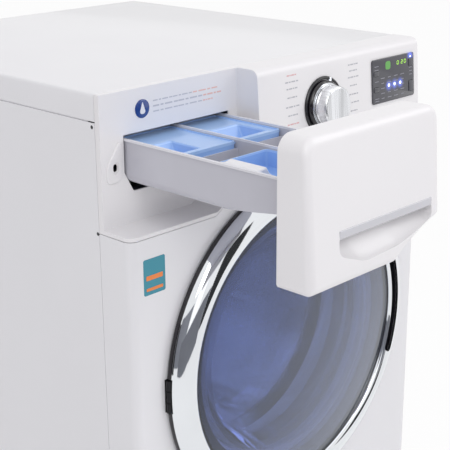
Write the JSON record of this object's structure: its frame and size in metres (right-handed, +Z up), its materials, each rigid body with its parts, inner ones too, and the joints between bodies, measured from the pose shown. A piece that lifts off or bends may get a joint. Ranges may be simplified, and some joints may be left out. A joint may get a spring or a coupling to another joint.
{
  "type": "front load washing machine",
  "caption": "Free-standing front load washing machine with a leaning console, a detergent drawer drawn out and a round glazed door in a bright ring.",
  "frame": {"origin": "middle of the footprint on the floor, with the detergent drawer drawn out", "axes": "+X to the right of someone facing the machine, +Y to the rear, +Z up"},
  "size_m": [0.686, 1.1064, 0.983],
  "materials": {
    "white_paint": "white enamel on steel sheet",
    "zinc_sheet": "zinc coated steel sheet",
    "white_moulding": "white moulded plastic, satin gloss",
    "grey_moulding": "pale grey moulded plastic",
    "tray_grey": "cool grey moulded plastic",
    "insert_blue": "light blue moulded plastic",
    "black_gloss": "black gloss plastic",
    "black_plastic": "black matte plastic",
    "display_grey": "dark grey film",
    "bright_chrome": "bright chrome plating",
    "satin_silver": "spun satin silver",
    "plated_steel": "zinc plated steel",
    "drum_steel": "polished stainless sheet",
    "cast_alloy": "cast alloy",
    "copper_winding": "enamelled copper wire",
    "tinted_window": "smoke blue tinted clear plastic",
    "clear_glass": "clear toughened glass",
    "grey_rubber": "grey rubber",
    "foot_rubber": "black rubber",
    "tub_plastic": "glass filled grey plastic",
    "concrete": "cast concrete"
  },
  "bodies": {
    "cabinet": {"top_cover": "white_paint", "left_side_panel": "white_paint", "right_side_panel": "white_paint", "rear_panel": "zinc_sheet", "rear_access_cover": "zinc_sheet", "base_pan": "zinc_sheet", "front_panel": "white_paint", "kick_panel": "white_paint", "control_console": "white_moulding", "control_box": "grey_moulding", "knob_bezel": "black_gloss", "display_panel": "display_grey", "dispenser_housing": "grey_moulding", "door_hinge_bracket": "plated_steel", "door_lock": "black_plastic", "gasket": "grey_rubber", "tub_front": "tub_plastic", "tub_rear": "tub_plastic", "front_bearing": "plated_steel", "motor_stator": "copper_winding", "counterweight": "concrete", "left_tub_spring": "plated_steel", "right_tub_spring": "plated_steel", "left_damper": "black_plastic", "right_damper": "black_plastic", "inlet_valves": "grey_moulding", "drain_outlet": "tub_plastic", "power_gland": "black_plastic", "drain_pump": "tub_plastic"},
    "drawer": {"drawer_body": "tray_grey", "drawer_front": "white_moulding", "softener_cup": "insert_blue", "bleach_cup": "insert_blue", "liquid_cup": "insert_blue", "liquid_gate": "white_moulding"},
    "door": {"door_ring": "bright_chrome", "door_grip_pocket": "black_gloss", "door_frame": "grey_moulding", "door_window": "tinted_window", "glass_bowl": "clear_glass", "door_hinge_leaf": "plated_steel", "door_hook": "plated_steel"},
    "drum": {"drum": "drum_steel", "lifter_1": "white_moulding", "lifter_2": "white_moulding", "lifter_3": "white_moulding", "drum_spider": "cast_alloy", "motor_rotor": "zinc_sheet"},
    "knob": {"knob_skirt": "bright_chrome", "knob_cap": "satin_silver"},
    "option_key_1": {"option_key_1": "display_grey"},
    "option_key_2": {"option_key_2": "display_grey"},
    "power_key": {"power_key": "display_grey"},
    "start_key": {"start_key": "display_grey"},
    "filter_door": {"filter_door": "white_moulding"},
    "filter_cap": {"filter_cap": "tub_plastic"},
    "foot_1": {"foot_1": "foot_rubber"},
    "foot_2": {"foot_2": "foot_rubber"},
    "foot_3": {"foot_3": "foot_rubber"},
    "foot_4": {"foot_4": "foot_rubber"}
  },
  "joints": [
    {"name": "drawer_slide", "type": "slide", "parent": "cabinet", "child": "drawer", "axis": [0, -1, 0], "range_m": [-0.325, 0]},
    {"name": "door_hinge", "type": "hinge", "parent": "cabinet", "child": "door", "pos_m": [-0.2832, -0.2352, 0.528], "axis": [0, 0, -1], "range_deg": [0, 55]},
    {"name": "drum_spin", "type": "hinge", "parent": "cabinet", "child": "drum", "pos_m": [0, 0.1, 0.528], "axis": [0, 1, 0], "continuous": true},
    {"name": "knob_turn", "type": "hinge", "parent": "cabinet", "child": "knob", "pos_m": [0.082, -0.22033, 0.906], "axis": [0, -0.9974, 0.0716], "continuous": true},
    {"name": "option_key_1_press", "type": "slide", "parent": "cabinet", "child": "option_key_1", "axis": [0, 0.9974, -0.0716], "range_m": [0, 0.0015], "stiffness_N_per_m": 400},
    {"name": "option_key_2_press", "type": "slide", "parent": "cabinet", "child": "option_key_2", "axis": [0, 0.9974, -0.0716], "range_m": [0, 0.0015], "stiffness_N_per_m": 400},
    {"name": "power_key_press", "type": "slide", "parent": "cabinet", "child": "power_key", "axis": [0, 0.9974, -0.0716], "range_m": [0, 0.0015], "stiffness_N_per_m": 400},
    {"name": "start_key_press", "type": "slide", "parent": "cabinet", "child": "start_key", "axis": [0, 0.9974, -0.0716], "range_m": [0, 0.0015], "stiffness_N_per_m": 400},
    {"name": "filter_door_hinge", "type": "hinge", "parent": "cabinet", "child": "filter_door", "pos_m": [-0.24, -0.2292, 0.0562], "axis": [1, 0, 0], "range_deg": [0, 95]},
    {"name": "filter_cap_turn", "type": "hinge", "parent": "cabinet", "child": "filter_cap", "pos_m": [-0.24, -0.2, 0.098], "axis": [0, -1, 0], "range_deg": [0, 90]},
    {"name": "foot_1_height", "type": "slide", "parent": "cabinet", "child": "foot_1", "axis": [0, 0, 1], "range_m": [-0.014, 0.01]},
    {"name": "foot_2_height", "type": "slide", "parent": "cabinet", "child": "foot_2", "axis": [0, 0, 1], "range_m": [-0.014, 0.01]},
    {"name": "foot_3_height", "type": "slide", "parent": "cabinet", "child": "foot_3", "axis": [0, 0, 1], "range_m": [-0.014, 0.01]},
    {"name": "foot_4_height", "type": "slide", "parent": "cabinet", "child": "foot_4", "axis": [0, 0, 1], "range_m": [-0.014, 0.01]}
  ]
}
